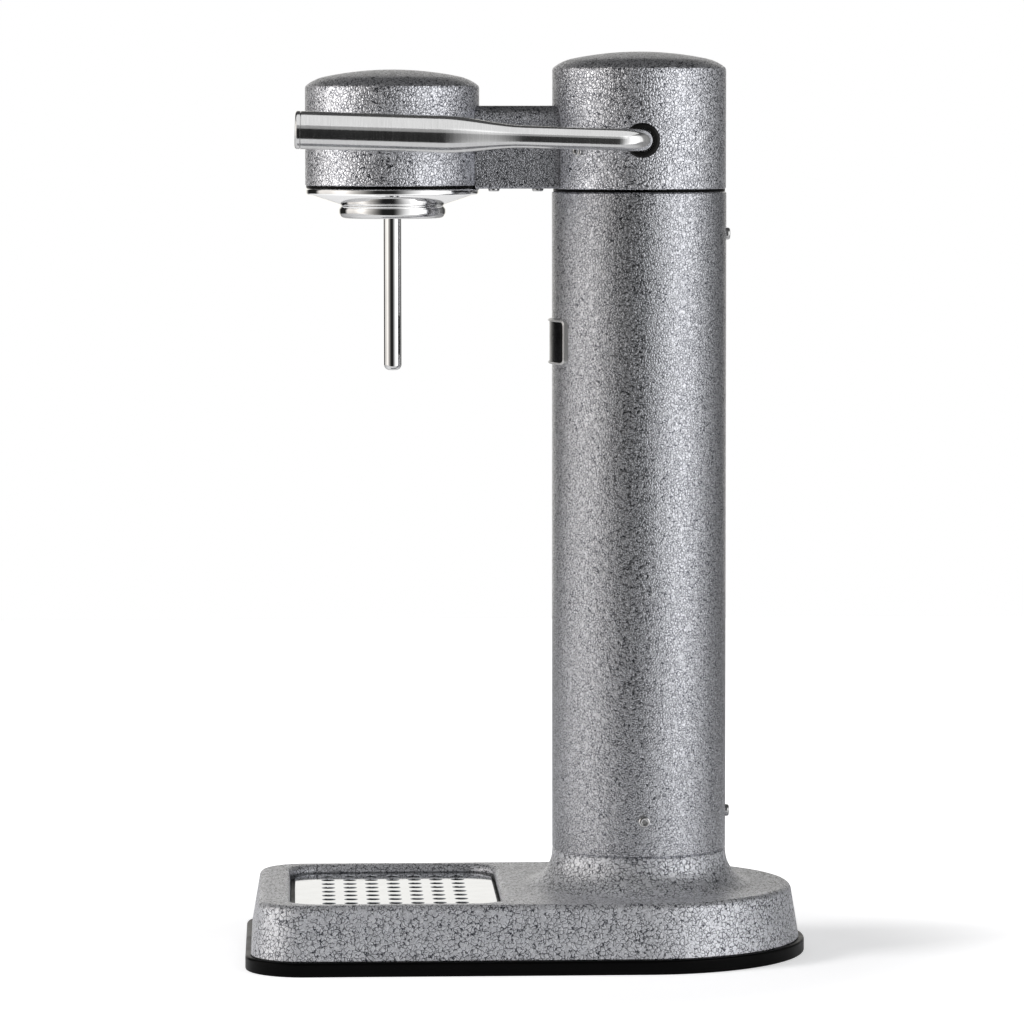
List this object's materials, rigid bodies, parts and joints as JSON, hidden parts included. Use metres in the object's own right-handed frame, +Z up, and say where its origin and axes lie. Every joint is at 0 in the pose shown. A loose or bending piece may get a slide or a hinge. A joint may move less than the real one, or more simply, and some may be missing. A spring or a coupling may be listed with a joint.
{
  "type": "sparkling water maker",
  "caption": "Counter-top machine that carbonates a bottle of water: pull the side lever down and gas from the cylinder in the column flows through the nozzle.",
  "frame": {"origin": "on the table under the centre of the base's bounding box", "axes": "+Z up along the column, -Y to the front where the nozzle and tray are, +X to the side that has the lever"},
  "size_m": [0.153, 0.258, 0.414],
  "materials": {
    "hammered_paint": "grey metallic powder coat with a hammered vein pattern",
    "brushed_steel": "brushed along the handle",
    "stainless": "plain machined",
    "satin_metal": "satin",
    "polished_steel": "mirror polished",
    "chrome": "bright",
    "black_rubber": "satin black",
    "black_plastic": "fine moulded grain",
    "badge_black": "smooth, bare",
    "cylinder_paint": "smooth enamel",
    "brass": "machined",
    "cast_alloy": "die cast",
    "hose_white": "extruded"
  },
  "bodies": {
    "machine": {"base_ring": "black_rubber", "base_plate": "black_plastic", "plate_screws": "stainless", "base_casting": "hammered_paint", "plate_posts": "stainless", "tray_well": "hammered_paint", "bay_sleeve": "black_plastic", "column_tube": "hammered_paint", "column_screws": "stainless", "column_gasket": "black_rubber", "badge_frame": "satin_metal", "badge_panel": "badge_black", "co2_cylinder": "cylinder_paint", "cylinder_valve": "brass", "cylinder_seal": "black_rubber", "valve_block": "brass", "block_screws": "stainless", "return_spring": "stainless", "head_frame": "cast_alloy", "column_head": "hammered_paint", "head_screws": "stainless", "lever_bush": "black_rubber", "bridge": "hammered_paint", "bridge_cover": "hammered_paint", "bridge_screws": "stainless", "gas_hose": "hose_white", "front_head": "hammered_paint", "front_gasket": "black_rubber", "nozzle_plate": "chrome", "nozzle_carrier": "black_plastic", "carrier_screws": "stainless", "relief_valve": "brass", "bottle_ring": "chrome", "bottle_seal": "black_rubber", "nozzle_tube": "chrome", "nozzle_tip": "chrome"},
    "lever": {"lever": "brushed_steel", "lever_cap": "brushed_steel", "lever_cam": "stainless", "shaft_clip": "stainless"},
    "push_rod": {"push_rod": "stainless", "valve_pin": "stainless"},
    "tray": {"drip_tray": "black_plastic"},
    "grille": {"drip_grille": "polished_steel"}
  },
  "joints": [
    {"name": "lever_swing", "type": "hinge", "parent": "machine", "child": "lever", "pos_m": [0, 0.0515, 0.3738], "axis": [1, 0, 0], "range_deg": [0, 50], "stiffness_Nm_per_rad": 0.6, "springref_deg": -34.38},
    {"name": "push_rod_slide", "type": "slide", "parent": "machine", "child": "push_rod", "axis": [0, 0, -1], "range_m": [0, 0.0032], "deforming": ["return_spring"]},
    {"name": "tray_lift", "type": "slide", "parent": "machine", "child": "tray", "axis": [0, 0, 1], "range_m": [0, 0.06]},
    {"name": "grille_lift", "type": "slide", "parent": "tray", "child": "grille", "axis": [0, 0, 1], "range_m": [0, 0.04]}
  ],
  "couplings": [
    {"joint": "push_rod_slide", "follows": "lever_swing", "m_per_rad": 0.0036669}
  ]
}
